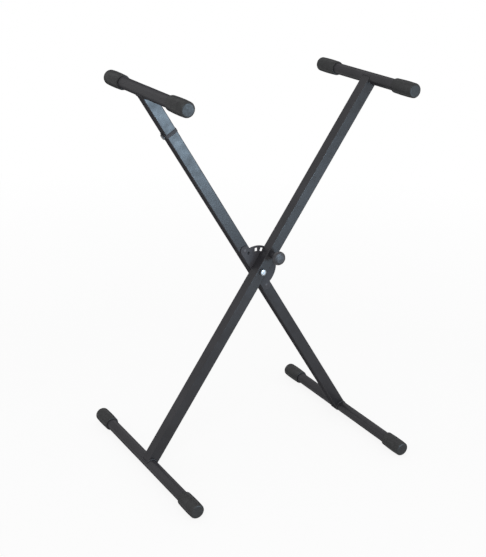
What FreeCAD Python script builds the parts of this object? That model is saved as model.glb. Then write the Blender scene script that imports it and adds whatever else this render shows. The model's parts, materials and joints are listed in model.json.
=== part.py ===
"""Folding keyboard stand with one X.

Frame: millimetres, +Z up, origin on the floor under the pivot.  The cross bars run along Y and the
legs lie in planes of constant Y, the front leg on the -Y side.  Every piece of a leg is drawn in the
leg's own frame (origin at the pivot, local Z up along the leg, local Y the same as Y) and is then
turned into place.
"""
import FreeCAD, Part
import Sketcher
import math
import os
from FreeCAD import Placement, Rotation, Vector

os.makedirs("parts", exist_ok=True)
doc = FreeCAD.newDocument("keyboard_stand")

# ---------------------------------------------------------------- driving dimensions
DIMENSIONS = {
    # the X
    "half_angle": 33.2,            # of each leg from upright, as it stands
    "leg_up": 492.0,               # pivot to the axis of a top bar
    "leg_down": 493.0,             # pivot to the axis of a foot bar
    "leg_width": 25.8,             # square tube with its coat
    "leg_wall": 1.5,
    "leg_corner": 1.6,
    "leg_gap": 4.0,                # between the facing sides of the two legs
    "fit": 0.05,                   # radial room of pieces that are pressed, welded or riveted
    "running": 0.06,               # radial room of pieces that turn or slide
    "overcut": 1.0,                # how far a cutting outline runs past what it cuts
    # cross bars
    "bar_radius": 12.7,
    "bar_wall": 1.5,
    "top_span": 347.0,             # over the ends of the sleeves
    "foot_span": 484.0,
    # rubber sleeves and feet
    "sleeve_radius": 16.5,
    "sleeve_length": 66.0,
    "foot_radius": 16.8,
    "foot_length": 60.0,
    "rubber_end": 4.0,             # thickness of the closed end
    "rubber_taper": 0.7,           # the ends are this much smaller than the middle, in radius
    "swell_start": 0.3,            # the full middle, as shares of the length
    "swell_end": 0.62,
    "rubber_round": 4.5,
    "rubber_lip": 2.4,             # round of the mouth
    # lock plate
    "plate_radius": 52.9,
    "plate_thick": 3.0,
    "plate_back": 11.0,            # how far it reaches over the rear leg, past the leg's middle
    "window_inner": 40.0,
    "window_outer": 48.5,
    "window_width": 7.4,
    "window_round": 1.0,
    "first_window": 31.2,          # angle from the rear leg to the first window
    "window_step": 17.6,
    "window_count": 5.0,
    "store_angle": 4.4,            # angle between the legs when folded flat
    "store_hole": 3.4,             # radius
    "rivet_place": 54.0,           # from the pivot, along the rear leg
    "rivet_shank": 2.4,            # radii
    "rivet_head": 4.2,
    "rivet_tail": 3.6,
    "rivet_rise": 1.3,
    "tab_round": 10.8,             # corners of the strip's two ends
    # pivot
    "bolt_radius": 4.0,
    "bolt_length": 70.0,
    "bolt_bevel": 1.0,
    "bolt_head_flats": 13.0,
    "bolt_head_height": 4.2,
    "bush_radius": 6.0,
    "washer_radius": 8.5,
    "washer_thick": 1.6,
    "nut_height": 8.0,
    "nut_sides": 6.2,              # height of the hexagon; the rest is a round collar
    "spacer_radius": 11.0,
    # lock pin, its barrel and its knob
    "pin_ring": 44.3,              # pivot to the lock pin
    "pin_radius": 3.0,
    "pin_clear": 0.7,              # drawn pin to the face of the plate
    "pin_length": 54.2,
    "pin_bevel": 0.9,
    "barrel_radius": 7.2,
    "barrel_bore": 5.4,
    "barrel_stand": 12.2,          # how far it stands out of the leg
    "barrel_floor": 6.0,
    "plug_length": 5.0,
    "clip_radius": 5.0,
    "clip_thick": 1.2,
    "clip_seat": 2.5,              # radius of the groove in the pin
    "clip_place": 9.9,             # tip of the pin to the clip, which lets the pin 3.6 mm in
    "spring_wire": 0.45,           # radius
    "spring_radius": 4.2,          # of the coil, to the middle of the wire
    "spring_turns": 8.0,
    "knob_radius": 15.5,
    "knob_neck": 9.0,
    "knob_length": 17.5,
    "knob_waist": 3.5,             # back of the knob to the end of its neck
    "knob_rim": 7.4,               # back of the knob to the start and end of its full rim
    "knob_rim_end": 12.4,
    "knob_shoulder": 15.8,         # its domed front: back of the knob to two rings, and their radii
    "knob_shoulder_radius": 13.3,
    "knob_crown": 17.2,
    "knob_crown_radius": 8.9,
    "knob_start": 16.4,            # leg face to the back of the knob
    "knob_bore": 11.8,
    "knob_round": 2.4,
    # arm that slides in the rear leg
    "collar_top": 391.0,           # pivot to the top of the collar
    "collar_height": 7.5,
    "collar_proud": 1.1,
    "boss_radius": 5.6,
    "boss_rise": 0.5,
    "spigot_width": 22.3,
    "spigot_wall": 1.5,
    "spigot_corner": 1.4,
    "spigot_down": 118.0,          # below the top of the collar
    "spigot_up": 60.0,             # inside the arm tube
    "arm_seat": 0.1,               # arm tube to the collar when pushed home
    "glide_room": 0.08,
    "glide_height": 6.0,
    "screw_radius": 2.5,
    "screw_bevel": 0.8,
    "screw_gap": 0.3,              # tip of the screw to the spigot
    "grip_radius": 6.5,
    "grip_length": 3.6,
    "grip_gap": 0.25,              # boss to the knob of the screw
    "grip_edge": 0.7,              # bevel of the grip's two rims
    "flute_count": 10.0,
    "flute_radius": 1.1,
    "flute_place": 7.1,            # axis of the grip to the middle of a flute
}

sheet = doc.addObject("Spreadsheet::Sheet", "Sizes")
for row, (name, value) in enumerate(DIMENSIONS.items(), start=1):
    sheet.set("A%d" % row, name)
    sheet.set("B%d" % row, str(value))
    sheet.setAlias("B%d" % row, name)
doc.recompute()


def size(name):
    """A driving dimension as a number."""
    return float(sheet.get(name))


# ---------------------------------------------------------------- small tools
SAME = 1e-4                        # lengths closer than this are equal
X_AXIS = Vector(1, 0, 0)
Y_AXIS = Vector(0, 1, 0)
Z_AXIS = Vector(0, 0, 1)
NODES = []


def bind(item, prop, text):
    """Tie a property to the sheet: names of driving dimensions are written bare in text."""
    words = []
    for word in text.split():
        words.append("Sizes." + word if word in DIMENSIONS else word)
    item.setExpression(prop, " ".join(words))


def new_body(label):
    body = doc.addObject("PartDesign::Body", label)
    body.Label = label
    NODES.append(body)
    return body


def origin_feature(body, role):
    for feature in body.Origin.OriginFeatures:
        if feature.Role == role:
            return feature
    raise ValueError(role)


def new_sketch(body, role, name):
    sketch = body.newObject("Sketcher::SketchObject", body.Label + "_" + name)
    sketch.AttachmentSupport = (origin_feature(body, role), [""])
    sketch.MapMode = "FlatFace"
    return sketch


def place_point(sketch, index, end, across, up):
    """Hold one point of a sketch at two distances from the sketch's origin."""
    for kind, text in (("DistanceX", across), ("DistanceY", up)):
        number = sketch.addConstraint(Sketcher.Constraint(kind, -1, 1, index, end, 1.0))
        bind(sketch, "Constraints[%d]" % number, text)


def draw_circle(sketch, radius, across="0", up="0"):
    index = sketch.addGeometry(Part.Circle(Vector(1, 1, 0), Z_AXIS, 1.0), False)
    place_point(sketch, index, 3, across, up)
    number = sketch.addConstraint(Sketcher.Constraint("Radius", index, 1.0))
    bind(sketch, "Constraints[%d]" % number, radius)


def draw_polygon(sketch, corners):
    """A closed outline of straight lines; each corner is a pair of texts."""
    count = len(corners)
    spots = []
    for step in range(count):
        turn = 2 * math.pi * step / count
        spots.append(Vector(math.cos(turn), math.sin(turn), 0))
    first = None
    for step in range(count):
        line = Part.LineSegment(spots[step], spots[(step + 1) % count])
        index = sketch.addGeometry(line, False)
        if first is None:
            first = index
    for step in range(count):
        following = first + (step + 1) % count
        sketch.addConstraint(Sketcher.Constraint("Coincident", first + step, 2, following, 1))
    for step, (across, up) in enumerate(corners):
        place_point(sketch, first + step, 1, across, up)


def draw_rectangle(sketch, left, right, low, high):
    draw_polygon(sketch, [(left, low), (right, low), (right, high), (left, high)])


def pad_both_ways(body, sketch, length):
    pad = body.newObject("PartDesign::Pad", sketch.Name + "_pad")
    pad.Profile = sketch
    pad.SideType = "Symmetric"
    bind(pad, "Length", length)
    return pad


def cut_through(body, sketch, side="both"):
    """Cut a sketch all the way through the body, both ways or to one side of the sketch's plane."""
    doc.recompute()
    before = body.Shape.Volume
    pocket = body.newObject("PartDesign::Pocket", sketch.Name + "_cut")
    pocket.Profile = sketch
    pocket.Type = "ThroughAll"
    pocket.SideType = "Symmetric" if side == "both" else "One side"
    pocket.Reversed = side == "front"
    doc.recompute()
    if body.Shape.Volume >= before:
        raise RuntimeError(sketch.Label + " cut nothing")
    return pocket


def turned(body, sketch, axis):
    """Revolve a sketch once round one of its axes."""
    item = body.newObject("PartDesign::Revolution", sketch.Name + "_turn")
    item.Profile = sketch
    item.ReferenceAxis = (sketch, [axis])
    item.Angle = 360.0
    return item


def edges_where(feature, test):
    """Names of the feature's edges whose curve passes a test."""
    names = []
    for number, edge in enumerate(feature.Shape.Edges, start=1):
        if test(edge):
            names.append("Edge%d" % number)
    return names


def round_edges(body, feature, test, radius):
    doc.recompute()
    fillet = body.newObject("PartDesign::Fillet", feature.Name + "_round")
    fillet.Base = (feature, edges_where(feature, test))
    bind(fillet, "Radius", radius)
    return fillet


def bevel_edges(body, feature, test, width):
    doc.recompute()
    bevel = body.newObject("PartDesign::Chamfer", feature.Name + "_bevel")
    bevel.Base = (feature, edges_where(feature, test))
    bind(bevel, "Size", width)
    return bevel


def runs_along(direction):
    """Test for straight edges along a direction."""
    def test(edge):
        if not isinstance(edge.Curve, Part.Line):
            return False
        return abs(edge.Curve.Direction.dot(direction)) > 1.0 - SAME
    return test


def circle_at(radius, y):
    """Test for circles of a radius about the local Y axis at a height y."""
    def test(edge):
        if not isinstance(edge.Curve, Part.Circle):
            return False
        near = abs(edge.Curve.Center.y - y) < SAME
        return near and abs(edge.Curve.Radius - radius) < SAME
    return test


# ---------------------------------------------------------------- where the legs stand
PIVOT_HEIGHT = size("leg_down") * math.cos(math.radians(size("half_angle"))) + size("foot_radius")
LEG_MIDDLE = (size("leg_gap") + size("leg_width")) / 2      # middle plane of a leg from Y = 0
LEG_FACE = size("leg_gap") / 2                              # side of a leg that faces the other
LEG_BACK = LEG_FACE + size("leg_width")                     # side that faces outwards
LEAN = {"front": 1.0, "rear": -1.0}


def stand(body, leg, depth=0.0, along=0.0, across=0.0, turn=None):
    """Put a piece that is drawn in its own frame on a leg."""
    lean = Rotation(Y_AXIS, LEAN[leg] * size("half_angle"))
    hub = Placement(Vector(0, 0, PIVOT_HEIGHT), lean)
    local = Placement(Vector(across, depth, along), turn or Rotation())
    body.Placement = hub.multiply(local)


# ---------------------------------------------------------------- tubes
def square_tube(label, width, wall, corner, low, high):
    """Square tube along local Z with rounded outer corners, between two heights."""
    body = new_body(label)
    outline = new_sketch(body, "XZ_Plane", "side")
    half = width + " / 2"
    draw_rectangle(outline, "-1 * " + half, half, low, high)
    pad = pad_both_ways(body, outline, width)
    rounded = round_edges(body, pad, runs_along(Z_AXIS), corner)
    doc.recompute()
    hollow = new_sketch(body, "XZ_Plane", "hollow")
    inner = width + " / 2 - " + wall
    below = low + " - overcut"
    above = high + " + overcut"
    draw_rectangle(hollow, "-1 * ( " + inner + " )", inner, below, above)
    cut = body.newObject("PartDesign::Pocket", label + "_hollow_cut")
    cut.Profile = hollow
    cut.Type = "Length"
    cut.SideType = "Symmetric"
    bind(cut, "Length", width + " - 2 * " + wall)
    doc.recompute()
    if body.Shape.Volume >= rounded.Shape.Volume:
        raise RuntimeError(label + " isn't hollow")
    return body


def cope(body, name, along):
    """Shape the end of a tube to the round bar that it is welded to."""
    mouth = new_sketch(body, "XZ_Plane", name)
    draw_circle(mouth, "bar_radius + fit", "0", along)
    cut_through(body, mouth)


def bar(label, leg, span, along):
    """Round cross tube along Y, as long as the sleeves' closed ends allow."""
    body = new_body(label)
    ring = new_sketch(body, "XZ_Plane", "ring")
    draw_circle(ring, "bar_radius")
    draw_circle(ring, "bar_radius - bar_wall")
    pad_both_ways(body, ring, span + " - 2 * rubber_end")
    stand(body, leg, along=along)
    return body


def rubber(label, leg, radius, length, span, along, near):
    """Rubber sleeve with a closed end, a little fuller in the middle, pushed on a bar's end."""
    body = new_body(label)
    half = new_sketch(body, "XY_Plane", "half")
    bore = "bar_radius + fit"
    slim = radius + " - rubber_taper"
    draw_polygon(half, [
        ("0", "0"),
        (slim, "0"),
        (radius, "swell_start * " + length),
        (radius, "swell_end * " + length),
        (slim, length),
        (bore, length),
        (bore, "rubber_end"),
        ("0", "rubber_end"),
    ])
    shell = turned(body, half, "V_Axis")
    slim_radius = size(radius) - size("rubber_taper")
    rounded = round_edges(body, shell, circle_at(slim_radius, 0.0), "rubber_round")
    round_edges(body, rounded, circle_at(slim_radius, size(length)), "rubber_lip")
    end = size(span) / 2
    if near:
        stand(body, leg, depth=-end, along=along)
    else:
        stand(body, leg, depth=end, along=along, turn=Rotation(X_AXIS, 180.0))
    return body


# ---------------------------------------------------------------- round pieces along Y
def round_piece(label, outline):
    """A solid turned round the local Y axis from corners (radius, y)."""
    body = new_body(label)
    half = new_sketch(body, "XY_Plane", "half")
    draw_polygon(half, outline)
    turned(body, half, "V_Axis")
    return body


def ring_piece(label, inner, outer, low, high):
    return round_piece(label, [(inner, low), (outer, low), (outer, high), (inner, high)])


def hexagon(body, name, flats):
    """Corners of a hexagon with flats across a named size, in the XZ plane."""
    sketch = new_sketch(body, "XZ_Plane", name)
    corners = []
    for step in range(6):
        turn = 60 * step + 30
        across = "%s / 2 / cos( 30 deg ) * cos( %d deg )" % (flats, turn)
        up = "%s / 2 / cos( 30 deg ) * sin( %d deg )" % (flats, turn)
        corners.append((across, up))
    draw_polygon(sketch, corners)
    return sketch


def drill(body, name, radius, along, across="0", side="both"):
    """Round hole along Y through both walls of a piece, or through its front or back wall only."""
    spot = new_sketch(body, "XZ_Plane", name)
    draw_circle(spot, radius, across, along)
    return cut_through(body, spot, side)


# ---------------------------------------------------------------- rear leg
def rear_leg_tube():
    top = "collar_top - collar_height"
    body = square_tube("rear_leg_tube", "leg_width", "leg_wall", "leg_corner", "-1 * leg_down", top)
    cope(body, "foot_cope", "-1 * leg_down")
    drill(body, "pivot_hole", "bush_radius + fit", "0")
    for name, sign in (("rivet_low", "-1 * "), ("rivet_high", "1 * ")):
        drill(body, name, "rivet_shank + fit", sign + "rivet_place", side="front")
    stand(body, "rear", depth=LEG_MIDDLE)


def lock_plate():
    """Half disc with windows, a hole for the lock pin when the stand is stored flat, and a strip
    that lies along the rear leg and is riveted to it.
    """
    body = new_body("lock_plate")
    disc = new_sketch(body, "XZ_Plane", "disc")
    draw_circle(disc, "plate_radius")
    pad_both_ways(body, disc, "plate_thick")
    waste = new_sketch(body, "XZ_Plane", "waste")
    edge = "-1 * plate_back"
    draw_rectangle(waste, "-2 * plate_radius", edge, "-2 * plate_radius", "2 * plate_radius")
    cut_through(body, waste)
    strip = new_sketch(body, "XZ_Plane", "strip")
    reach = "rivet_place + plate_back"
    draw_rectangle(strip, edge, "plate_back", "-1 * ( " + reach + " )", reach)
    pad = pad_both_ways(body, strip, "plate_thick")
    doc.recompute()
    half_strip = size("rivet_place") + size("plate_back")

    def strip_corner(edge):
        straight = runs_along(Y_AXIS)(edge)
        return straight and abs(abs(edge.Vertexes[0].Z) - half_strip) < SAME

    round_edges(body, pad, strip_corner, "tab_round")
    drill(body, "pivot_hole", "bolt_radius + fit", "0")
    up = "pin_ring * cos( store_angle )"
    across = "pin_ring * sin( store_angle )"
    drill(body, "store_hole", "store_hole", up, across)
    for name, sign in (("rivet_low", "-1 * "), ("rivet_high", "1 * ")):
        drill(body, name, "rivet_head + fit", sign + "rivet_place")
    window = new_sketch(body, "XZ_Plane", "window")
    half = "window_width / 2"
    draw_rectangle(window, "-1 * " + half, half, "window_inner", "window_outer")
    window.AttachmentOffset = Placement(Vector(), Rotation(Z_AXIS, -1.0))
    bind(window, "AttachmentOffset.Rotation.Angle", "-1 * first_window")
    cut = cut_through(body, window)
    fan = body.newObject("PartDesign::PolarPattern", "lock_plate_windows")
    fan.Originals = [cut]
    fan.Axis = (origin_feature(body, "Y_Axis"), [""])
    fan.Mode = "Spacing"
    bind(fan, "Offset", "window_step")
    bind(fan, "Occurrences", "window_count")
    body.Tip = fan
    doc.recompute()
    nearest = size("window_inner") - size("overcut")
    farthest = size("window_outer") + size("overcut")

    def window_corner(edge):
        if not runs_along(Y_AXIS)(edge):
            return False
        spot = edge.Vertexes[0]
        away = math.hypot(spot.X, spot.Z)
        return nearest < away < farthest and spot.X > size("plate_back")

    round_edges(body, fan, window_corner, "window_round")
    stand(body, "rear", depth=LEG_FACE - size("plate_thick") / 2)


def cylinder(label, radius, length, depth, along):
    """A plain cylinder primitive along Y, from a depth towards +Y."""
    item = doc.addObject("Part::Cylinder", label)
    bind(item, "Radius", radius)
    bind(item, "Height", length)
    item.Placement = Placement(Vector(0, depth, along), Rotation(X_AXIS, -90.0))
    return item


def group(label, pieces):
    """Several separate fasteners as one node."""
    item = doc.addObject("Part::MultiFuse", label)
    item.Label = label
    item.Shapes = pieces
    NODES.append(item)
    return item


def lock_plate_rivets():
    """Flush rivets: a wide head in the plate, a shank in the leg's wall, a tail inside."""
    wall = size("leg_wall")
    thick = size("plate_thick")
    pieces = []
    for number, sign in enumerate((-1, 1), start=1):
        along = sign * size("rivet_place")
        name = "plate_rivet_%d" % number
        pieces.append(cylinder(name + "_head", "rivet_head", "plate_thick", -thick, along))
        pieces.append(cylinder(name + "_shank", "rivet_shank", "leg_wall", 0.0, along))
        pieces.append(cylinder(name + "_tail", "rivet_tail", "rivet_rise", wall, along))
    stand(group("lock_plate_rivets", pieces), "rear", depth=LEG_FACE)


def leg_bush(label, leg, room):
    half = "leg_width / 2"
    body = ring_piece(label, "bolt_radius + " + room, "bush_radius", "-1 * " + half, half)
    stand(body, leg, depth=-LEAN[leg] * LEG_MIDDLE)


def pivot_bolt():
    body = new_body("pivot_bolt")
    head = hexagon(body, "head", "bolt_head_flats")
    top = body.newObject("PartDesign::Pad", "pivot_bolt_head_pad")
    top.Profile = head
    bind(top, "Length", "bolt_head_height")
    shank = new_sketch(body, "XZ_Plane", "shank")
    draw_circle(shank, "bolt_radius")
    stem = body.newObject("PartDesign::Pad", "pivot_bolt_shank_pad")
    stem.Profile = shank
    stem.Reversed = True
    bind(stem, "Length", "bolt_length")
    tip = circle_at(size("bolt_radius"), size("bolt_length"))
    bevel_edges(body, stem, tip, "bolt_bevel")
    stand(body, "rear", depth=-LEG_BACK - size("washer_thick"))


def pivot_washer(label, depth):
    inner = "bolt_radius + 4 * fit"
    body = ring_piece(label, inner, "washer_radius", "0", "washer_thick")
    stand(body, "rear", depth=depth)


def pivot_nut():
    """Nut with a round collar for its locking ring."""
    body = new_body("pivot_nut")
    flats = hexagon(body, "flats", "bolt_head_flats")
    sides = body.newObject("PartDesign::Pad", "pivot_nut_sides")
    sides.Profile = flats
    sides.Reversed = True
    bind(sides, "Length", "nut_sides")
    ring = new_sketch(body, "XZ_Plane", "ring")
    draw_circle(ring, "bolt_head_flats / 2 - 2 * fit")
    collar = body.newObject("PartDesign::Pad", "pivot_nut_collar")
    collar.Profile = ring
    collar.Reversed = True
    bind(collar, "Length", "nut_height")
    drill(body, "thread", "bolt_radius + fit", "0")
    stand(body, "rear", depth=LEG_BACK + size("washer_thick"))


def pivot_spacer():
    gap = "leg_gap - plate_thick"
    body = ring_piece("pivot_spacer", "bolt_radius + 2 * fit", "spacer_radius", "0", gap)
    stand(body, "rear", depth=-LEG_FACE)


def arm_collar():
    """Square ring on the top of the leg tube, with a round boss for the lock screw."""
    body = new_body("arm_collar")
    band = new_sketch(body, "XY_Plane", "band")
    half = "leg_width / 2 + collar_proud"
    draw_rectangle(band, "-1 * ( " + half + " )", half, "-1 * ( " + half + " )", half)
    pad = pad_both_ways(body, band, "collar_height")
    round_edges(body, pad, runs_along(Z_AXIS), "leg_corner + collar_proud")
    boss = new_sketch(body, "YZ_Plane", "boss")
    draw_circle(boss, "boss_radius")
    boss.AttachmentOffset = Placement(Vector(0, 0, -1), Rotation())
    bind(boss, "AttachmentOffset.Base.z", "-1 * ( " + half + " )")
    rise = body.newObject("PartDesign::Pad", "arm_collar_boss_pad")
    rise.Profile = boss
    rise.Reversed = True
    bind(rise, "Length", "boss_rise")
    doc.recompute()
    hollow = new_sketch(body, "XY_Plane", "hollow")
    inner = "leg_width / 2 - leg_wall"
    draw_rectangle(hollow, "-1 * ( " + inner + " )", inner, "-1 * ( " + inner + " )", inner)
    cut_through(body, hollow)
    thread = new_sketch(body, "YZ_Plane", "thread")
    draw_circle(thread, "screw_radius + running")
    cut_through(body, thread, side="back")
    stand(body, "rear", depth=LEG_MIDDLE, along=size("collar_top") - size("collar_height") / 2)


# ---------------------------------------------------------------- arm of the rear leg
def rear_arm_tube():
    low = "collar_top + arm_seat"
    body = square_tube("rear_arm_tube", "leg_width", "leg_wall", "leg_corner", low, "leg_up")
    cope(body, "top_cope", "leg_up")
    for number in (1, 2):
        spot = "collar_top + %d * spigot_up / 3" % number
        drill(body, "rivet_%d" % number, "rivet_shank + fit", spot, side="back")
    stand(body, "rear", depth=LEG_MIDDLE)


def rear_arm_spigot():
    low = "collar_top - spigot_down"
    high = "collar_top + spigot_up"
    body = square_tube("rear_arm_spigot", "spigot_width", "spigot_wall", "spigot_corner", low, high)
    for number in (1, 2):
        spot = "collar_top + %d * spigot_up / 3" % number
        drill(body, "rivet_%d" % number, "rivet_shank + fit", spot, side="back")
    stand(body, "rear", depth=LEG_MIDDLE)


def spigot_rivets():
    """Blind rivets through the back walls of the arm tube and the spigot."""
    inside = size("spigot_width") / 2 - size("spigot_wall")
    outside = size("leg_width") / 2
    pieces = []
    for number in (1, 2):
        along = size("collar_top") + number * size("spigot_up") / 3
        name = "spigot_rivet_%d" % number
        grip = "leg_width / 2 - spigot_width / 2 + spigot_wall"
        pieces.append(cylinder(name + "_shank", "rivet_shank", grip, inside, along))
        pieces.append(cylinder(name + "_head", "rivet_head", "rivet_rise", outside, along))
        tail = inside - size("rivet_rise")
        pieces.append(cylinder(name + "_tail", "rivet_tail", "rivet_rise", tail, along))
    stand(group("spigot_rivets", pieces), "rear", depth=LEG_MIDDLE)


def spigot_glide():
    """Plastic glide under the spigot: a square flange that fills the leg and a plug."""
    body = new_body("spigot_glide")
    flange = new_sketch(body, "XZ_Plane", "flange")
    half = "( leg_width / 2 - leg_wall - glide_room )"
    draw_rectangle(flange, "-1 * " + half, half, "-1 * glide_height", "0")
    pad_both_ways(body, flange, "2 * " + half)
    plug = new_sketch(body, "XZ_Plane", "plug")
    inner = "( spigot_width / 2 - spigot_wall - fit )"
    draw_rectangle(plug, "-1 * " + inner, inner, "-1 * glide_height", "glide_height")
    pad_both_ways(body, plug, "2 * " + inner)
    foot = size("collar_top") - size("spigot_down")
    stand(body, "rear", depth=LEG_MIDDLE, along=foot)


def arm_screw():
    """Lock screw of the arm, drawn outwards along local Y from its tip."""
    reach = "leg_width / 2 + collar_proud + boss_rise + grip_gap + grip_length / 2"
    tip = "spigot_width / 2 + screw_gap"
    length = "( " + reach + " - ( " + tip + " ) )"
    body = round_piece("arm_screw", [
        ("0", "0"),
        ("screw_radius - screw_bevel", "0"),
        ("screw_radius", "screw_bevel"),
        ("screw_radius", length),
        ("0", length),
    ])
    start = size("spigot_width") / 2 + size("screw_gap")
    middle = size("collar_top") - size("collar_height") / 2
    quarter = Rotation(Z_AXIS, 90.0)
    stand(body, "rear", depth=LEG_MIDDLE, along=middle, across=-start, turn=quarter)


def arm_screw_knob():
    """Small fluted head moulded on the lock screw."""
    body = round_piece("arm_screw_knob", [
        ("screw_radius + fit", "0"),
        ("grip_radius - grip_edge", "0"),
        ("grip_radius", "grip_edge"),
        ("grip_radius", "grip_length - grip_edge"),
        ("grip_radius - grip_edge", "grip_length"),
        ("0", "grip_length"),
        ("0", "grip_length / 2"),
        ("screw_radius + fit", "grip_length / 2"),
    ])
    flute = new_sketch(body, "XZ_Plane", "flute")
    draw_circle(flute, "flute_radius", "0", "flute_place")
    cut = cut_through(body, flute)
    flutes = body.newObject("PartDesign::PolarPattern", "arm_screw_knob_flutes")
    flutes.Originals = [cut]
    flutes.Axis = (origin_feature(body, "Y_Axis"), [""])
    flutes.Angle = 360.0
    bind(flutes, "Occurrences", "flute_count")
    body.Tip = flutes
    start = size("leg_width") / 2 + size("collar_proud") + size("boss_rise") + size("grip_gap")
    middle = size("collar_top") - size("collar_height") / 2
    quarter = Rotation(Z_AXIS, 90.0)
    stand(body, "rear", depth=LEG_MIDDLE, along=middle, across=-start, turn=quarter)


# ---------------------------------------------------------------- front leg
def front_leg_tube():
    low = "-1 * leg_down"
    body = square_tube("front_leg_tube", "leg_width", "leg_wall", "leg_corner", low, "leg_up")
    cope(body, "foot_cope", low)
    cope(body, "top_cope", "leg_up")
    drill(body, "pivot_hole", "bush_radius + fit", "0")
    drill(body, "barrel_hole", "barrel_radius + fit", "pin_ring")
    stand(body, "front", depth=-LEG_MIDDLE)


def lock_barrel():
    """Guide tube of the lock pin, from the leg's inner side out through its face."""
    bore = "pin_radius + running"
    far = "-1 * ( leg_width + barrel_stand )"
    body = round_piece("lock_barrel", [
        (bore, "0"),
        ("barrel_radius", "0"),
        ("barrel_radius", far),
        ("barrel_bore", far),
        ("barrel_bore", "-1 * barrel_floor"),
        (bore, "-1 * barrel_floor"),
    ])
    stand(body, "front", depth=-LEG_FACE, along=size("pin_ring"))


def barrel_plug():
    bore = "pin_radius + running"
    body = ring_piece("barrel_plug", bore, "barrel_bore - fit", "0", "plug_length")
    end = LEG_BACK + size("barrel_stand")
    stand(body, "front", depth=-end, along=size("pin_ring"))


# the drawn lock pin: where its tip, its clip and the knob are, from Y = 0
PLATE_FACE = LEG_FACE - size("plate_thick")
PIN_TIP = PLATE_FACE - size("pin_clear")
CLIP_FACE = PIN_TIP - size("clip_place")


def arc_from(start, corner, end):
    """Arc between two points whose tangents meet at a corner, halfway between them."""
    chord = (start + end) * 0.5
    half = (end - start).Length / 2
    rise = corner - chord
    bulge = half * math.tan(math.atan2(rise.Length, half) / 2)
    return Part.Edge(Part.Arc(start, chord + rise * (bulge / rise.Length), end))


def helix(radius, height, turns):
    """A rising coil as a smooth chain of arcs, two to each quarter turn."""
    rise = height / (2 * math.pi * turns)
    quarter = math.pi / 2
    edges = []
    for step in range(4 * turns):
        ends = []
        for angle in (step * quarter, (step + 1) * quarter):
            point = Vector(radius * math.cos(angle), radius * math.sin(angle), rise * angle)
            ahead = Vector(-radius * math.sin(angle), radius * math.cos(angle), rise)
            ends.append((point, ahead.normalize()))
        (start, leave), (end, arrive) = ends
        span = end - start
        along = span.dot(leave + arrive)
        bend = 2 * (1 - leave.dot(arrive))
        reach = (math.sqrt(along ** 2 + bend * span.dot(span)) - along) / bend
        first = start + leave * reach
        last = end - arrive * reach
        middle = (first + last) * 0.5
        edges.append(arc_from(start, first, middle))
        edges.append(arc_from(middle, last, end))
    return Part.Wire(edges)


def lock_spring():
    """Compression spring between the clip and the plug."""
    at_clip = CLIP_FACE - size("clip_thick") - size("spring_wire")
    at_plug = -LEG_BACK - size("barrel_stand") + size("plug_length") + size("spring_wire")
    coil = helix(size("spring_radius"), at_clip - at_plug, int(size("spring_turns")))
    start, leave = coil.Edges[0].valueAt(0), coil.Edges[0].tangentAt(0)
    wire = Part.Wire([Part.Edge(Part.Circle(start, leave, size("spring_wire")))])
    item = doc.addObject("Part::Feature", "lock_spring")
    item.Label = "lock_spring"
    item.Shape = coil.makePipeShell([wire], True, False)
    NODES.append(item)
    upright = Rotation(X_AXIS, -90.0)
    stand(item, "front", depth=at_plug, along=size("pin_ring"), turn=upright)


# ---------------------------------------------------------------- pull knob
def lock_pin():
    body = round_piece("lock_pin", [
        ("0", "0"),
        ("pin_radius - pin_bevel", "0"),
        ("pin_radius", "-1 * pin_bevel"),
        ("pin_radius", "-1 * pin_length"),
        ("0", "-1 * pin_length"),
    ])
    groove = new_sketch(body, "XY_Plane", "groove")
    near = "-1 * ( clip_place )"
    far = "-1 * ( clip_place + clip_thick )"
    draw_rectangle(groove, "clip_seat", "pin_radius + overcut", far, near)
    cut = body.newObject("PartDesign::Groove", "lock_pin_groove_cut")
    cut.Profile = groove
    cut.ReferenceAxis = (groove, ["V_Axis"])
    cut.Angle = 360.0
    stand(body, "front", depth=PIN_TIP, along=size("pin_ring"))


def pin_clip():
    body = ring_piece("pin_clip", "clip_seat", "clip_radius", "-1 * clip_thick", "0")
    stand(body, "front", depth=CLIP_FACE, along=size("pin_ring"))


def lock_knob():
    """Round pull knob: a neck, a full rim and a low crown."""
    bore = "pin_radius + fit"
    body = round_piece("lock_knob", [
        (bore, "0"),
        ("knob_neck", "0"),
        ("knob_neck", "-1 * knob_waist"),
        ("knob_radius", "-1 * knob_rim"),
        ("knob_radius", "-1 * knob_rim_end"),
        ("knob_shoulder_radius", "-1 * knob_shoulder"),
        ("knob_crown_radius", "-1 * knob_crown"),
        ("0", "-1 * knob_length"),
        ("0", "-1 * knob_bore"),
        (bore, "-1 * knob_bore"),
    ])
    doc.recompute()

    def rim(edge):
        start = circle_at(size("knob_radius"), -size("knob_rim"))(edge)
        return start or circle_at(size("knob_radius"), -size("knob_rim_end"))(edge)

    round_edges(body, body.Tip, rim, "knob_round")
    stand(body, "front", depth=-LEG_BACK - size("knob_start"), along=size("pin_ring"))


# ---------------------------------------------------------------- the whole stand
def cross_bars():
    for leg, end, span, along in (
        ("front", "top", "top_span", size("leg_up")),
        ("rear", "top", "top_span", size("leg_up")),
        ("front", "foot", "foot_span", -size("leg_down")),
        ("rear", "foot", "foot_span", -size("leg_down")),
    ):
        bar("%s_%s_bar" % (leg, end), leg, span, along)
        for near, word in ((True, "near"), (False, "far")):
            if end == "top":
                label = "%s_top_sleeve_%s" % (leg, word)
                rubber(label, leg, "sleeve_radius", "sleeve_length", span, along, near)
            else:
                label = "%s_foot_cap_%s" % (leg, word)
                rubber(label, leg, "foot_radius", "foot_length", span, along, near)


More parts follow.
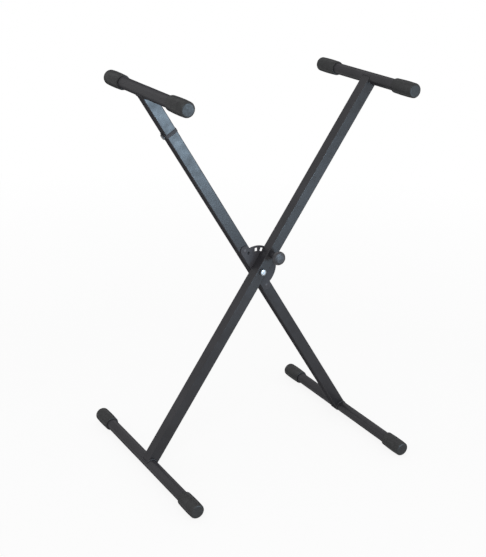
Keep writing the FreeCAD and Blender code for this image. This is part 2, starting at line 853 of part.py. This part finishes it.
def build():
    rear_leg_tube()
    lock_plate()
    lock_plate_rivets()
    leg_bush("rear_leg_bush", "rear", "fit")
    pivot_bolt()
    pivot_washer("pivot_head_washer", -LEG_BACK - size("washer_thick"))
    pivot_washer("pivot_nut_washer", LEG_BACK)
    pivot_nut()
    pivot_spacer()
    arm_collar()
    rear_arm_tube()
    rear_arm_spigot()
    spigot_rivets()
    spigot_glide()
    arm_screw()
    arm_screw_knob()
    front_leg_tube()
    leg_bush("front_leg_bush", "front", "running")
    lock_barrel()
    barrel_plug()
    lock_spring()
    lock_pin()
    pin_clip()
    lock_knob()
    cross_bars()


def export():
    doc.recompute()
    failed = []
    for item in doc.Objects:
        if "Invalid" in item.State or "Error" in item.State:
            failed.append(item.Label)
    for item in NODES:
        shape = item.Shape
        if shape.isNull() or not shape.isValid() or not shape.Solids:
            failed.append(item.Label + " (shape)")
    if failed:
        raise RuntimeError("failed: " + ", ".join(failed))
    for item in NODES:
        item.Shape.exportStep("parts/%s.step" % item.Label)
        print("%-26s %9.1f mm3, %d solid(s)" % (item.Label, item.Shape.Volume, len(item.Shape.Solids)))
    print(len(NODES), "nodes, pivot at", round(PIVOT_HEIGHT, 3))


build()
export()
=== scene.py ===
"""Looks of the folding keyboard stand: finishes, welds, threads, fasteners, studio and camera.

Metres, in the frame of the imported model: +Z up, the cross bars along Y, the floor at Z = 0.
"""
import json
import math

import bmesh
import bpy
from mathutils import Matrix, Vector


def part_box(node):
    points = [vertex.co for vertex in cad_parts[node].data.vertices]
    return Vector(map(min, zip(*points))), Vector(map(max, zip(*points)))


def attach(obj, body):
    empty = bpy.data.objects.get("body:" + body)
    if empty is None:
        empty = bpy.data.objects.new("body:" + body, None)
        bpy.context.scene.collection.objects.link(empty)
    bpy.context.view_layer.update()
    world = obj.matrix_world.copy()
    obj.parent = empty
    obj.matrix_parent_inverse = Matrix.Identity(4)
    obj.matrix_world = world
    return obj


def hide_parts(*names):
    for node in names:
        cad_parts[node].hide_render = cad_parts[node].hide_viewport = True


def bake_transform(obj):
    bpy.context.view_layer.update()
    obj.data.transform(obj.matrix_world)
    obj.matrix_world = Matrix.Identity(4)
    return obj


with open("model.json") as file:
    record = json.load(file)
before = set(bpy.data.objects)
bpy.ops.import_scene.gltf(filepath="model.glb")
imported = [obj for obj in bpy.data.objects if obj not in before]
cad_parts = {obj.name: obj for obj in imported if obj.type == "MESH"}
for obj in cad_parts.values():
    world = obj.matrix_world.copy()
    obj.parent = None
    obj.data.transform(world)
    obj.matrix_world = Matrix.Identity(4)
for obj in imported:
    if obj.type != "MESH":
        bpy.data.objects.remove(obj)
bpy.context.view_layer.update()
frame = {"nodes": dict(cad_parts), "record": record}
NODES = frame["nodes"]
MM = 0.001


# ---------------------------------------------------------------- places read from the frame
def middle(node):
    low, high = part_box(node)
    return (low + high) / 2


PIVOT = Vector((0.0, 0.0, middle("pivot_bolt").z))
BAR_RADIUS = (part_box("front_foot_bar")[1].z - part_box("front_foot_bar")[0].z) / 2
LEG_HALF = (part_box("front_leg_tube")[1].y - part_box("front_leg_tube")[0].y) / 2


def leg_axes(bar):
    """Unit vector from the pivot to a cross bar and the one square to it, both in the XZ plane."""
    out = middle(bar) - PIVOT
    out.y = 0.0
    out.normalize()
    return out, Vector((out.z, 0.0, -out.x))


# ---------------------------------------------------------------- nodes of a material
class Shade:
    """A node material and short ways to add to it."""

    def __init__(self, name):
        self.made = bpy.data.materials.new(name)
        self.made.use_nodes = True
        self.tree = self.made.node_tree
        self.surface = self.tree.nodes["Principled BSDF"]
        self.place = self.node("ShaderNodeTexCoord").outputs["Object"]

    def node(self, kind, **settings):
        made = self.tree.nodes.new(kind)
        for name, value in settings.items():
            setattr(made, name, value)
        return made

    def feed(self, socket, value):
        if isinstance(value, bpy.types.NodeSocket):
            self.tree.links.new(value, socket)
        else:
            socket.default_value = value

    def noise(self, size, detail=2.0, stretch=(1.0, 1.0, 1.0)):
        """Noise whose features are about size metres wide, drawn out along an axis by stretch."""
        where = self.node("ShaderNodeMapping")
        self.feed(where.inputs["Vector"], self.place)
        where.inputs["Scale"].default_value = [1.0 / (size * each) for each in stretch]
        cloud = self.node("ShaderNodeTexNoise")
        self.feed(cloud.inputs["Vector"], where.outputs["Vector"])
        cloud.inputs["Scale"].default_value = 1.0
        cloud.inputs["Detail"].default_value = detail
        return cloud.outputs["Fac"]

    def span(self, value, from_low, from_high, to_low, to_high):
        """The value, with one range stretched to another and held at its ends."""
        made = self.node("ShaderNodeMapRange")
        self.feed(made.inputs["Value"], value)
        for name, number in (("From Min", from_low), ("From Max", from_high),
                             ("To Min", to_low), ("To Max", to_high)):
            made.inputs[name].default_value = number
        return made.outputs["Result"]

    def math(self, operation, first, second=0.0):
        made = self.node("ShaderNodeMath", operation=operation)
        self.feed(made.inputs[0], first)
        self.feed(made.inputs[1], second)
        return made.outputs["Value"]

    def mix(self, share, first, second):
        made = self.node("ShaderNodeMix", data_type="RGBA")
        self.feed(made.inputs[0], share)
        self.feed(made.inputs[6], first)
        self.feed(made.inputs[7], second)
        return made.outputs[2]

    def cloud(self, size, low, high, detail=2.0):
        """Noise with the range between low and high stretched to 0 to 1."""
        return self.span(self.noise(size, detail), low, high, 0.0, 1.0)

    def edges(self, radius):
        """1 at convex and concave edges, 0 on faces."""
        soft = self.node("ShaderNodeBevel", samples=4)
        soft.inputs["Radius"].default_value = radius
        sharp = self.node("ShaderNodeNewGeometry")
        both = self.node("ShaderNodeVectorMath", operation="DOT_PRODUCT")
        self.feed(both.inputs[0], soft.outputs["Normal"])
        self.feed(both.inputs[1], sharp.outputs["Normal"])
        face, edge = 0.98, 0.80            # how far the two normals agree
        return self.span(both.outputs["Value"], face, edge, 0.0, 1.0)

    def grazing(self, start, end, near, far):
        """The near value on faces seen square on, the far one where they are seen edge on.

        It changes between start and end, on a scale from 0, square on, to 1, edge on.
        """
        tilt = self.node("ShaderNodeLayerWeight")
        tilt.inputs["Blend"].default_value = 0.5
        return self.span(tilt.outputs["Facing"], start, end, near, far)

    def dull_when_grazing(self, rough):
        """The roughness, raised where a face is seen edge on; its shine fades there too.

        A finely grained surface looks like this.
        """
        shine = self.grazing(start=0.27, end=0.45, near=0.5, far=0.2)
        self.feed(self.surface.inputs["Specular IOR Level"], shine)
        least = self.grazing(start=0.42, end=0.78, near=0.0, far=0.95)
        return self.math("MAXIMUM", rough, least)

    def bump(self, height, depth, under=None):
        made = self.node("ShaderNodeBump")
        self.feed(made.inputs["Height"], height)
        made.inputs["Distance"].default_value = depth
        if under is not None:
            self.feed(made.inputs["Normal"], under)
        return made.outputs["Normal"]

    def finish(self, color, roughness, normal, **constants):
        self.feed(self.surface.inputs["Base Color"], color)
        self.feed(self.surface.inputs["Roughness"], roughness)
        self.feed(self.surface.inputs["Normal"], normal)
        for name, value in constants.items():
            self.surface.inputs[name.replace("_", " ")].default_value = value
        return self.made


def grey(level, tint=(1.0, 1.0, 1.0)):
    return [level * each for each in tint] + [1.0]


# ---------------------------------------------------------------- the finishes
COOL = (1.0, 0.98, 1.12)


def powder_coat(name, level, rough):
    """Black powder coat: fine orange peel, cloudy gloss, paler edges: thin coat and painted
    highlight.
    """
    made = Shade(name)
    cloud = made.cloud(60.0 * MM, 0.35, 0.65, detail=4.0)
    speck = made.noise(1.1 * MM, detail=1.0)
    body = made.mix(cloud, grey(level, COOL), grey(level * 1.3, COOL))
    # Paler edges: partly thinner coat, partly a painted edge highlight.
    pale_edge_share = made.span(made.noise(4.0 * MM), 0.4, 0.7, 0.15, 0.8)
    edge = made.math("MULTIPLY", made.edges(0.8 * MM), pale_edge_share)
    color = made.mix(edge, body, grey(level * 1.6, COOL))
    patches = made.noise(20.0 * MM, detail=5.0)
    gloss = made.dull_when_grazing(made.span(patches, 0.3, 0.7, rough - 0.04, rough + 0.06))
    peel = made.bump(made.noise(2.1 * MM, detail=1.5), 0.06 * MM)
    normal = made.bump(speck, 0.03 * MM, peel)
    return made.finish(color, gloss, normal, IOR=1.33)


def rubber(name):
    """Satin moulded rubber with a fine grain and a greyer bloom where it is handled."""
    made = Shade(name)
    bloom = made.cloud(12.0 * MM, 0.42, 0.72, detail=5.0)
    color = made.mix(bloom, grey(0.026, (1.0, 1.02, 1.06)), grey(0.036, (1.0, 1.03, 1.08)))
    pale_edge_share = made.math("MULTIPLY", made.edges(1.5 * MM), 0.3)
    color = made.mix(pale_edge_share, color, grey(0.06))
    gloss = made.dull_when_grazing(made.span(made.noise(5.0 * MM), 0.3, 0.7, 0.42, 0.54))
    grain = made.bump(made.noise(0.7 * MM, detail=3.0), 0.05 * MM)
    normal = made.bump(made.noise(6.0 * MM), 0.08 * MM, grain)
    return made.finish(color, gloss, normal, IOR=1.36)


def moulded_plastic(name, level):
    """Moulded plastic with a light spark texture."""
    made = Shade(name)
    cloud = made.cloud(10.0 * MM, 0.35, 0.65, detail=3.0)
    color = made.mix(cloud, grey(level, COOL), grey(level * 1.25, COOL))
    gloss = made.span(made.noise(3.0 * MM), 0.3, 0.7, 0.30, 0.42)
    normal = made.bump(made.noise(0.6 * MM), 0.04 * MM)
    return made.finish(color, gloss, normal, IOR=1.42)


def zinc(name, level, rough):
    """Plated or bare steel: cool, faintly cloudy, with fine turning marks."""
    made = Shade(name)
    cloud = made.cloud(4.0 * MM, 0.35, 0.7, detail=4.0)
    color = made.mix(cloud, grey(level, (0.96, 1.0, 1.05)), grey(level * 0.8, (0.98, 1.0, 1.03)))
    gloss = made.span(made.noise(1.2 * MM, detail=3.0), 0.3, 0.7, rough - 0.06, rough + 0.10)
    lines = made.noise(0.5 * MM, stretch=(1.0, 0.15, 1.0))
    rounded = made.node("ShaderNodeBevel", samples=4)
    rounded.inputs["Radius"].default_value = 0.25 * MM
    normal = made.bump(lines, 0.03 * MM, rounded.outputs["Normal"])
    return made.finish(color, gloss, normal, Metallic=1.0)


FINISHES = {
    "black_coat": powder_coat("black_powder_coat", level=0.028, rough=0.32),
    "plate_coat": powder_coat("satin_plate_coat", level=0.058, rough=0.6),
    "black_rubber": rubber("satin_rubber"),
    "zinc_steel": zinc("bright_zinc", level=0.36, rough=0.30),
    "spring_steel": zinc("spring_steel", level=0.5, rough=0.35),
    "knob_plastic": moulded_plastic("knob_plastic", level=0.040),
    "nylon": moulded_plastic("dull_nylon", level=0.030),
}

# Paler coat for the rivet domes: a painted highlight standing for their glint.
RIVET_GLINT_COAT = powder_coat("rivet_glint_coat", level=0.09, rough=0.42)

for entry in frame["record"]["subparts"]:
    slots = NODES[entry["node"]].data.materials
    slots.clear()
    slots.append(FINISHES[entry["material_slot"]])


# ---------------------------------------------------------------- softened edges of the solids
FLAT_BELOW = math.radians(0.5)     # faces that meet at less than this are one face
ROUND_OVER = math.radians(35.0)    # edges sharper than this are rounded


def soften(node, width):
    """Small round edges on a solid, by modifiers only."""
    piece = NODES[node]
    join = piece.modifiers.new("join", "WELD")
    join.merge_threshold = 0.01 * MM
    flat = piece.modifiers.new("flat", "DECIMATE")
    flat.decimate_type = "DISSOLVE"
    flat.angle_limit = FLAT_BELOW
    edge = piece.modifiers.new("edge", "BEVEL")
    edge.width = width
    edge.segments = 2
    edge.limit_method = "ANGLE"
    edge.angle_limit = ROUND_OVER
    edge.harden_normals = True


for softened, edge_width in (
    ("lock_plate", 0.4 * MM),
    ("arm_collar", 0.5 * MM),
    ("lock_barrel", 0.5 * MM),
    ("pivot_head_washer", 0.25 * MM),
    ("pivot_nut_washer", 0.25 * MM),
    ("arm_screw_knob", 0.4 * MM),
):
    soften(softened, edge_width)


# ---------------------------------------------------------------- mesh helpers
SAME = 0.001 * MM                  # points closer than this are one
HARD_EDGE = math.radians(40.0)


def new_piece(name, points, faces, slot, body, finish=None):
    """A mesh piece in the frame's metres that rides on a body, if one is given.

    Edges over HARD_EDGE stay hard.
    """
    mesh = bpy.data.meshes.new(name)
    mesh.from_pydata([tuple(point) for point in points], [], faces)
    work = bmesh.new()
    work.from_mesh(mesh)
    bmesh.ops.remove_doubles(work, verts=work.verts, dist=SAME)
    bmesh.ops.recalc_face_normals(work, faces=work.faces)
    work.to_mesh(mesh)
    work.free()
    mesh.polygons.foreach_set("use_smooth", [True] * len(mesh.polygons))
    mesh.set_sharp_from_angle(angle=HARD_EDGE)
    mesh.materials.append(finish or FINISHES[slot])
    piece = bpy.data.objects.new(name, mesh)
    bpy.context.scene.collection.objects.link(piece)
    if body:
        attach(piece, body)
    return piece


def grid_faces(rows, columns, close_rows=False):
    """Quads of a grid of points whose columns close on themselves."""
    faces = []
    last = rows if close_rows else rows - 1
    for row in range(last):
        for column in range(columns):
            right = (column + 1) % columns
            above = (row + 1) % rows
            faces.append((row * columns + column, row * columns + right,
                          above * columns + right, above * columns + column))
    return faces


# ---------------------------------------------------------------- weld beads
BEAD = 1.9 * MM                    # radius of a bead
BEAD_STEP = 2.6 * MM               # length of one ripple
RIPPLE = 0.14                      # its depth, as a share of the bead
BEAD_SIDES = 10
LEG_CORNER = 1.6 * MM              # round of the square tube
SIDE_STEPS = 40                    # points along a side of the tube and round a corner of it
CORNER_STEPS = 10


def weld_path(bar, tube_middle):
    """Closed line round a leg's end where it meets a cross bar, with its outward direction."""
    out, across = leg_axes(bar)
    centre = middle(bar)
    spots = []
    side = LEG_HALF - LEG_CORNER
    outline = []
    for quarter in range(4):
        turn = Matrix.Rotation(math.radians(90.0 * quarter), 2)
        for step in range(SIDE_STEPS):
            spot = Vector((LEG_HALF, -side + 2 * side * step / SIDE_STEPS))
            outline.append((turn @ spot, turn @ Vector((1.0, 0.0))))
        for step in range(CORNER_STEPS):
            angle = math.radians(90.0 * step / CORNER_STEPS)
            away = Vector((math.cos(angle), math.sin(angle)))
            outline.append((turn @ (Vector((side, side)) + LEG_CORNER * away), turn @ away))
    for (x, y), (away_x, away_y) in outline:
        drop = math.sqrt(max(BAR_RADIUS ** 2 - x ** 2, 0.0))
        spot = centre + across * x - out * drop
        spot.y = tube_middle + y
        away = across * away_x + Vector((0.0, away_y, 0.0))
        spots.append((spot, away, -out))
    return spots


def weld(name, bar, tube, body):
    """Rippled bead in the corner between a leg and a cross bar."""
    path = weld_path(bar, middle(tube).y)
    rows = len(path)
    points = []
    travelled = 0.0
    for index, (spot, away, back) in enumerate(path):
        ahead = path[(index + 1) % rows][0]
        behind = path[index - 1][0]
        along = (ahead - behind).normalized()
        travelled += (ahead - spot).length
        ripple = abs(math.sin(math.pi * travelled / BEAD_STEP))
        slow = 0.08 * math.sin(travelled / (9.0 * MM))
        quick = 0.05 * math.sin(travelled / (3.7 * MM))
        radius = BEAD * (1.0 - RIPPLE + RIPPLE * ripple + slow + quick)
        first = (away - along * away.dot(along)).normalized()
        second = along.cross(first)
        for side in range(BEAD_SIDES):
            angle = 2.0 * math.pi * side / BEAD_SIDES
            points.append(spot + (first * math.cos(angle) + second * math.sin(angle)) * radius)
    faces = grid_faces(rows, BEAD_SIDES, close_rows=True)
    return new_piece(name, points, faces, "black_coat", body)


weld("weld_front_top", "front_top_bar", "front_leg_tube", "front_leg")
weld("weld_front_foot", "front_foot_bar", "front_leg_tube", "front_leg")
weld("weld_rear_foot", "rear_foot_bar", "rear_leg_tube", "rear_leg")
weld("weld_rear_top", "rear_top_bar", "rear_arm_tube", "rear_arm")


# ---------------------------------------------------------------- bolt, nut, rivets, spring
REAR_OUT, REAR_ACROSS = leg_axes("rear_foot_bar")
TO_BACK = Vector((0.0, 1.0, 0.0))
TURN_SIDES = 72                    # points round a turned piece; a multiple of six
CHAMFER = math.tan(math.radians(30.0))     # rise of a hexagon's chamfer over its run
BOLT_RADIUS = 4.0 * MM
BOLT_PITCH = 1.25 * MM
THREAD_LENGTH = 12.0 * MM          # the part of the thread that is drawn
THREAD_ROWS = 90
THREAD_DEPTH = 0.72 * MM
THREAD_SLOPE = 2.4                 # share of the depth lost per share of the pitch from its root
TIP_BEVEL = 0.9 * MM
HEAD_HEIGHT = 4.2 * MM
HEX_APOTHEM = 6.5 * MM
HEX_RING = 6.15 * MM               # circle where a chamfer meets the flat face
PLATE_RIVET_SPREAD = 54.0 * MM     # middle of a pair of rivets to each of them
ARM_RIVET_SPREAD = 10.0 * MM


def turned_piece(name, starts, along, rings, slot, body, closed=False, finish=None):
    """Rings of points round one or more axes; each ring gives (depth, radius) for an angle."""
    points = []
    faces = []
    for start in starts:
        first = len(points)
        for ring in rings:
            for side in range(TURN_SIDES):
                angle = 2.0 * math.pi * side / TURN_SIDES
                depth, radius = ring(angle)
                around = REAR_OUT * math.cos(angle) + REAR_ACROSS * math.sin(angle)
                points.append(start + along * depth + around * radius)
        for face in grid_faces(len(rings), TURN_SIDES, close_rows=closed):
            faces.append(tuple(first + corner for corner in face))
    return new_piece(name, points, faces, slot, body, finish)


def round_rings(pairs):
    """Round rings from (depth, radius) in millimetres."""
    return [lambda angle, pair=pair: (pair[0] * MM, pair[1] * MM) for pair in pairs]


def hex_radius(angle):
    """Distance from the axis to the side of the hexagon; a corner lies at angle 0."""
    return HEX_APOTHEM / math.cos((angle % (math.pi / 3)) - math.pi / 6)


def hex_ring(depth, rise):
    """Edge of a hexagon cut by a chamfer; rise is 1 at its first face and -1 at its last."""
    def ring(angle):
        radius = hex_radius(angle)
        return depth + rise * (radius - HEX_RING) * CHAMFER, radius
    return ring


def thread_ring(depth, first, last):
    """One ring of a screw thread that runs in from first and out at the chamfer before last."""
    def ring(angle):
        phase = (depth / BOLT_PITCH - angle / (2.0 * math.pi)) % 1.0
        cut = THREAD_DEPTH * max(0.0, 1.0 - THREAD_SLOPE * abs(phase - 0.5))
        cut *= min(1.0, max(0.0, (depth - first) / BOLT_PITCH))
        return depth, min(BOLT_RADIUS - cut, BOLT_RADIUS - TIP_BEVEL + (last - depth))
    return ring


def pivot_bolt():
    low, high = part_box("pivot_bolt")
    length = high.y - low.y
    first = length - THREAD_LENGTH
    rings = round_rings([(0.0, 0.0), (0.0, 3.0), (0.0, 6.15)])
    rings.append(hex_ring(0.0, 1.0))
    rings.append(lambda angle: (HEAD_HEIGHT - 0.3 * MM, hex_radius(angle)))
    rings += round_rings([(3.9, 6.2), (4.2, 6.1), (4.2, 4.0)])
    for step in range(THREAD_ROWS + 1):
        depth = first + THREAD_LENGTH * step / THREAD_ROWS
        rings.append(thread_ring(depth, first, length))
    rings.append(lambda angle: (length, 0.0))
    start = Vector((PIVOT.x, low.y, PIVOT.z))
    made = turned_piece("bolt", [start], TO_BACK, rings, "zinc_steel", "rear_leg")
    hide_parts("pivot_bolt")


def pivot_nut():
    start = Vector((PIVOT.x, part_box("pivot_nut")[0].y, PIVOT.z))
    rings = round_rings([(0.4, 4.1), (0.0, 4.6), (0.0, 6.15)])
    rings.append(hex_ring(0.0, 1.0))
    rings.append(hex_ring(6.1 * MM, -1.0))
    rings += round_rings([(6.15, 6.2), (6.4, 6.2), (6.55, 6.38), (7.3, 6.38), (7.65, 6.2),
                          (7.9, 5.85), (8.0, 5.4), (7.95, 5.05), (7.75, 4.9), (6.9, 4.9),
                          (6.9, 4.1)])
    made = turned_piece("nut", [start], TO_BACK, rings, "zinc_steel", "rear_leg", closed=True)
    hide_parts("pivot_nut")
    ring = round_rings([(6.95, 4.12), (6.95, 4.86), (7.6, 4.86), (7.72, 4.7), (7.72, 4.3),
                        (7.6, 4.12)])
    turned_piece("nut_ring", [start], TO_BACK, ring, "nylon", "rear_leg", closed=True)


def rivet_starts(centre, spread, depth):
    """Outer ends of a pair of rivets along the rear leg, on either side of a point."""
    starts = []
    for sign in (-1.0, 1.0):
        spot = centre + REAR_OUT * spread * sign
        starts.append(Vector((spot.x, depth, spot.z)))
    return starts


def plate_rivets():
    """Low domes over the flush rivets of the lock plate, in a paler coat that paints their
    highlight.
    """
    dome = 0.45 * MM
    starts = rivet_starts(PIVOT, PLATE_RIVET_SPREAD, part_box("lock_plate_rivets")[0].y - dome)
    rings = round_rings([(0.0, 0.0), (0.02, 1.1), (0.09, 2.1), (0.2, 3.0), (0.34, 3.7),
                         (0.55, 4.1), (0.8, 4.15), (3.45, 4.15), (3.45, 2.4), (4.95, 2.4),
                         (4.95, 3.5), (5.2, 3.6), (5.9, 3.4), (6.25, 2.4), (6.25, 0.0)])
    made = turned_piece("plate_rivets", starts, TO_BACK, rings, "plate_coat", "rear_leg",
                        finish=RIVET_GLINT_COAT)
    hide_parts("lock_plate_rivets")


def arm_rivets():
    """Blind rivets in the back of the arm, each with its snapped pin in the hole."""
    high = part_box("spigot_rivets")[1]
    starts = rivet_starts(middle("spigot_rivets"), ARM_RIVET_SPREAD, high.y)
    rings = round_rings([(0.75, 0.0), (0.7, 0.8), (0.95, 1.1), (0.2, 1.25), (0.03, 1.5),
                         (0.0, 1.9), (0.12, 2.7), (0.4, 3.5), (0.75, 4.0), (1.05, 4.2),
                         (1.3, 4.1), (1.3, 2.4), (4.55, 2.4), (4.55, 3.4), (4.8, 3.6),
                         (5.5, 3.4), (5.85, 2.4), (5.85, 0.0)])
    made = turned_piece("arm_rivets", starts, -TO_BACK, rings, "plate_coat", "rear_arm")
    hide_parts("spigot_rivets")


SPRING_WIRE = 0.45 * MM            # radius
SPRING_TURNS = 9
SPRING_STEPS = 32                  # points along one turn
WIRE_SIDES = 10


def barrel_spring():
    """Wound spring with closed ends, over the length of the lock spring part."""
    low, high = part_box("lock_spring")
    centre = middle("lock_spring")
    wire = SPRING_WIRE
    coil = (high.x - low.x) / 2 - wire
    first = low.y + wire
    last = high.y - wire
    closed_pitch = 2.1 * wire
    open_pitch = (last - first - 2 * closed_pitch) / (SPRING_TURNS - 2)
    line = []
    for step in range(SPRING_TURNS * SPRING_STEPS + 1):
        turn = step / SPRING_STEPS
        closed = min(turn, 1.0) + max(turn - (SPRING_TURNS - 1), 0.0)
        along = first + closed * closed_pitch + (turn - closed) * open_pitch
        angle = 2.0 * math.pi * turn
        away = Vector((math.cos(angle), 0.0, -math.sin(angle)))
        line.append((Vector((centre.x, along, centre.z)) + away * coil, away))
    points = []
    for spot, away in line:
        for side in range(WIRE_SIDES):
            angle = 2.0 * math.pi * side / WIRE_SIDES
            lift = Vector((0.0, math.sin(angle), 0.0))
            points.append(spot + (away * math.cos(angle) + lift) * wire)
    faces = grid_faces(len(line), WIRE_SIDES)
    faces.append(tuple(range(WIRE_SIDES)))
    faces.append(tuple(range(len(points) - WIRE_SIDES, len(points))))
    made = new_piece("barrel_spring", points, faces, "spring_steel", None)
    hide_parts("lock_spring")
    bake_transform(made)


pivot_bolt()
pivot_nut()
barrel_spring()
plate_rivets()
arm_rivets()


# ---------------------------------------------------------------- floor, light and camera
FLOOR_HALF = 20.0
WHITE_FROM = 0.8                   # metres from the middle, where the floor starts to whiten
WHITE_AT = 2.4


def stage_floor():
    """Pale floor: greyer for the light that it throws on the stand than it looks."""
    half = FLOOR_HALF
    mesh = bpy.data.meshes.new("floor")
    corners = [(-half, -half, 0.0), (half, -half, 0.0), (half, half, 0.0), (-half, half, 0.0)]
    mesh.from_pydata(corners, [], [(0, 1, 2, 3)])
    made = Shade("pale_floor")
    paper = made.cloud(0.8, 0.3, 0.7, detail=3.0)
    path = made.node("ShaderNodeLightPath")
    seen = made.math("MAXIMUM", path.outputs["Is Camera Ray"], path.outputs["Is Glossy Ray"])
    seen = made.math("MAXIMUM", seen, path.outputs["Is Transmission Ray"])
    unseen = made.mix(paper, grey(0.44), grey(0.47))
    color = made.mix(seen, unseen, made.mix(paper, grey(0.86), grey(0.90)))
    made.finish(color, 0.9, made.bump(made.noise(2.0 * MM), 0.02 * MM))
    made.surface.inputs["Specular IOR Level"].default_value = 0.1
    glow = made.node("ShaderNodeEmission")
    blend = made.node("ShaderNodeMixShader")
    away = made.node("ShaderNodeVectorMath", operation="LENGTH")
    made.feed(away.inputs[0], made.place)
    white = made.span(away.outputs["Value"], WHITE_FROM, WHITE_AT, 0.88, 1.0)
    made.feed(blend.inputs[0], made.math("MULTIPLY", seen, white))
    made.feed(blend.inputs[1], made.surface.outputs[0])
    made.feed(blend.inputs[2], glow.outputs[0])
    made.feed(made.tree.nodes["Material Output"].inputs["Surface"], blend.outputs[0])
    mesh.materials.append(made.made)
    floor = bpy.data.objects.new("floor", mesh)
    bpy.context.scene.collection.objects.link(floor)


def studio_world(level):
    """White studio that lights the stand at a level and looks white."""
    world = bpy.data.worlds.new("studio")
    world.use_nodes = True
    tree = world.node_tree
    back = tree.nodes["Background"]
    path = tree.nodes.new("ShaderNodeLightPath")
    seen = None
    for name in ("Is Camera Ray", "Is Glossy Ray", "Is Transmission Ray"):
        if seen is None:
            seen = path.outputs[name]
            continue
        largest = tree.nodes.new("ShaderNodeMath")
        largest.operation = "MAXIMUM"
        tree.links.new(seen, largest.inputs[0])
        tree.links.new(path.outputs[name], largest.inputs[1])
        seen = largest.outputs[0]
    strength = tree.nodes.new("ShaderNodeMapRange")
    strength.inputs["To Min"].default_value = level
    strength.inputs["To Max"].default_value = 1.0
    tree.links.new(seen, strength.inputs["Value"])
    tree.links.new(strength.outputs["Result"], back.inputs["Strength"])
    back.inputs["Color"].default_value = (1.0, 1.0, 1.0, 1.0)
    bpy.context.scene.world = world


def area_light(name, place, target, width, watts, color=(1.0, 1.0, 1.0), gloss_only=False):
    """Round soft light; one for gloss only is seen in the coat but doesn't light it."""
    lamp = bpy.data.lights.new(name, "AREA")
    lamp.shape = "DISK"
    lamp.size = width
    lamp.energy = watts
    lamp.color = color
    holder = bpy.data.objects.new(name, lamp)
    holder.location = place
    holder.rotation_euler = (Vector(target) - Vector(place)).to_track_quat("-Z", "Y").to_euler()
    holder.visible_camera = False
    holder.visible_diffuse = not gloss_only
    bpy.context.scene.collection.objects.link(holder)


PHOTO_WIDTH = 486
PHOTO_HEIGHT = 557
CAMERA_PLACE = Vector((-1.1884, -1.8892, 0.8266)) + PIVOT
CAMERA_TURN = math.radians(-33.71)         # round the vertical; 0 looks along +Y
CAMERA_RISE = math.radians(20.77)
CAMERA_ROLL = math.radians(2.82)
FOCAL_PIXELS = 1065.4
CENTRE_X = 282.2                           # where the camera's axis meets the photograph
CENTRE_Y = 277.6
SENSOR = 36.0


def photo_camera():
    """Camera at the photograph's viewing angle."""
    lens = bpy.data.cameras.new("camera")
    lens.sensor_width = SENSOR
    lens.lens = FOCAL_PIXELS / PHOTO_HEIGHT * SENSOR
    lens.shift_x = (PHOTO_WIDTH / 2 - CENTRE_X) / PHOTO_HEIGHT
    lens.shift_y = (CENTRE_Y - PHOTO_HEIGHT / 2) / PHOTO_HEIGHT
    lens.clip_start = 0.05
    back = Vector((math.sin(CAMERA_TURN) * math.cos(CAMERA_RISE),
                   -math.cos(CAMERA_TURN) * math.cos(CAMERA_RISE), math.sin(CAMERA_RISE)))
    right = Vector((math.cos(CAMERA_TURN), math.sin(CAMERA_TURN), 0.0))
    up = back.cross(right)
    rolled_right = right * math.cos(CAMERA_ROLL) + up * math.sin(CAMERA_ROLL)
    rolled_up = up * math.cos(CAMERA_ROLL) - right * math.sin(CAMERA_ROLL)
    holder = bpy.data.objects.new("camera", lens)
    turn = Matrix((rolled_right, rolled_up, back)).transposed().to_4x4()
    holder.matrix_world = Matrix.Translation(CAMERA_PLACE) @ turn
    bpy.context.scene.collection.objects.link(holder)
    bpy.context.scene.camera = holder


WORLD_LEVEL = 0.75
KEY_PLACE = (-1.7, -2.3, 2.7)
KEY_TARGET = (0.0, 0.0, 0.45)
CARD_PLACE = (0.70, -1.93, 0.34)
CARD_TARGET = (-0.25, 0.0, 0.8)
CARD_BLUE = (0.58, 0.80, 1.0)

stage_floor()
studio_world(WORLD_LEVEL)
area_light("key", KEY_PLACE, KEY_TARGET, width=1.8, watts=28.0)
area_light("low_card", CARD_PLACE, CARD_TARGET, width=0.75, watts=40.0, color=CARD_BLUE,
           gloss_only=True)
photo_camera()
bpy.context.scene.view_settings.view_transform = "Standard"
